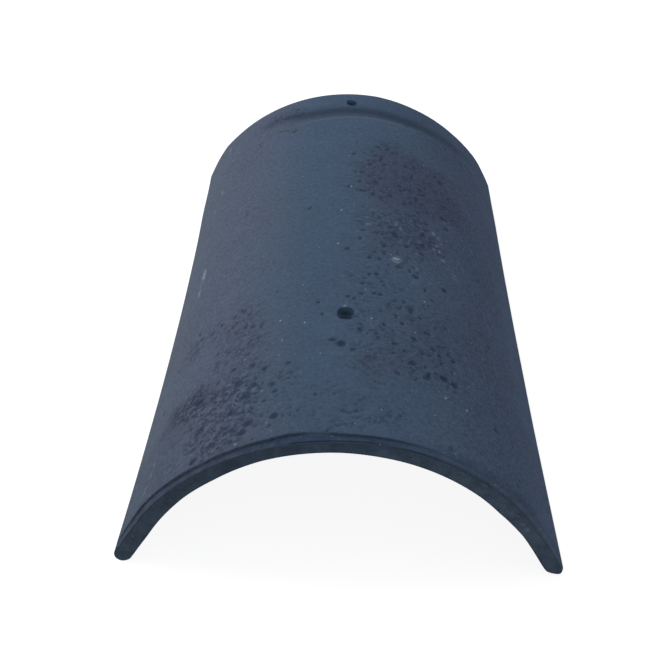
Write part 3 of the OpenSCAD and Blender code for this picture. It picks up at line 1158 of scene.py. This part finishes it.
# The studio: greys and strengths, and each lamp's place, size in metres and power in watts
FLOOR_REACH = 6.0
FLOOR_COLOUR = (0.22, 0.22, 0.22, 1)
FLOOR_GLOW = 0.91
SURROUND_COLOUR = (0.95, 0.98, 1.0, 1)
SURROUND_STRENGTH = 0.40
WHITE = (1, 1, 1, 1)
LAMPS = {
    "key": ((-1.2, 0.5, 1.8), 1.4, 37.0),
    "fill": ((1.65, -0.2, 0.8), 1.0, 5.2),
}
LAMP_TARGET = (0, 0, 0.05)


def seen(n):
    """1 for rays that come from the camera, or from a mirror or glass, and 0 for those that light."""
    path = n.add("ShaderNodeLightPath").outputs
    mirrored = n.most(path["Is Glossy Ray"], path["Is Transmission Ray"])
    return n.most(path["Is Camera Ray"], mirrored)


def floor_material():
    """Pale, white to the camera apart from a soft shadow."""
    material = bpy.data.materials.new("pale_floor")
    n = Nodes(material)
    lit = n.add("ShaderNodeBsdfDiffuse", {"Color": FLOOR_COLOUR})
    glow = n.add("ShaderNodeEmission", {"Color": WHITE, "Strength": FLOOR_GLOW})
    shown = n.add("ShaderNodeAddShader", {0: lit.outputs[0], 1: glow.outputs[0]})
    mixed = n.add("ShaderNodeMixShader", {0: seen(n), 1: lit.outputs[0], 2: shown.outputs[0]})
    n.add("ShaderNodeOutputMaterial", {"Surface": mixed.outputs[0]})
    return material


def studio_floor():
    """A square floor round the tile."""
    mesh = bpy.data.meshes.new("studio_floor")
    corners = [(x * FLOOR_REACH, y * FLOOR_REACH, 0) for x, y in ((-1, -1), (1, -1), (1, 1), (-1, 1))]
    mesh.from_pydata(corners, [], [(0, 1, 2, 3)])
    mesh.materials.append(floor_material())
    floor = new_object("studio_floor", mesh)


def studio_surround():
    """An even pale surround, white behind the object."""
    world = bpy.data.worlds.new("studio")
    bpy.context.scene.world = world
    n = Nodes(world)
    inputs = {"Color": SURROUND_COLOUR, "Strength": SURROUND_STRENGTH}
    surround = n.add("ShaderNodeBackground", inputs)
    white = n.add("ShaderNodeBackground", {"Color": WHITE, "Strength": 1.0})
    mixed = n.add("ShaderNodeMixShader", {0: seen(n), 1: surround.outputs[0], 2: white.outputs[0]})
    n.add("ShaderNodeOutputWorld", {"Surface": mixed.outputs[0]})


def add_lamp(name, location, size, power):
    """A square soft lamp that faces the tile."""
    lamp = bpy.data.lights.new(name, "AREA")
    lamp.size = size
    lamp.energy = power
    holder = new_object(name, lamp)
    holder.location = location
    facing = Vector(LAMP_TARGET) - Vector(location)
    holder.rotation_euler = facing.to_track_quat("-Z", "Y").to_euler()


# The camera, fitted to the photograph's 660 by 660 frame
PHOTO_SIZE = 660
FOCAL_PIXELS = 1083.5
CAMERA_FROM_NOSE = (-1.7 * MM, -415.6 * MM, 456.3 * MM)
CAMERA_YAW = -0.0141
CAMERA_PITCH = 0.6160
CAMERA_ROLL = 0.0245


def photo_camera():
    """The camera at the photograph's viewing angle."""
    data = bpy.data.cameras.new("photo_camera")
    data.sensor_width = 36.0
    data.lens = data.sensor_width * FOCAL_PIXELS / PHOTO_SIZE
    camera = new_object("photo_camera", data)
    level = math.cos(CAMERA_PITCH)
    ahead = Vector((math.sin(CAMERA_YAW), math.cos(CAMERA_YAW), 0))
    forward = level * ahead - Vector((0, 0, math.sin(CAMERA_PITCH)))
    right = Vector((math.cos(CAMERA_YAW), -math.sin(CAMERA_YAW), 0))
    up = right.cross(forward)
    turned_right = math.cos(CAMERA_ROLL) * right + math.sin(CAMERA_ROLL) * up
    turned_up = math.cos(CAMERA_ROLL) * up - math.sin(CAMERA_ROLL) * right
    rotation = Matrix((turned_right, turned_up, -forward)).transposed().to_4x4()
    position = Vector(CAMERA_FROM_NOSE) + Vector((0, NOSE_Y, 0))
    camera.matrix_world = Matrix.Translation(position) @ rotation
    bpy.context.scene.camera = camera


photo_camera()
studio_floor()
studio_surround()
for lamp_name, (lamp_place, lamp_size, lamp_power) in LAMPS.items():
    add_lamp(lamp_name, lamp_place, lamp_size, lamp_power)
dress_tile()
bpy.context.scene.view_settings.view_transform = "Standard"
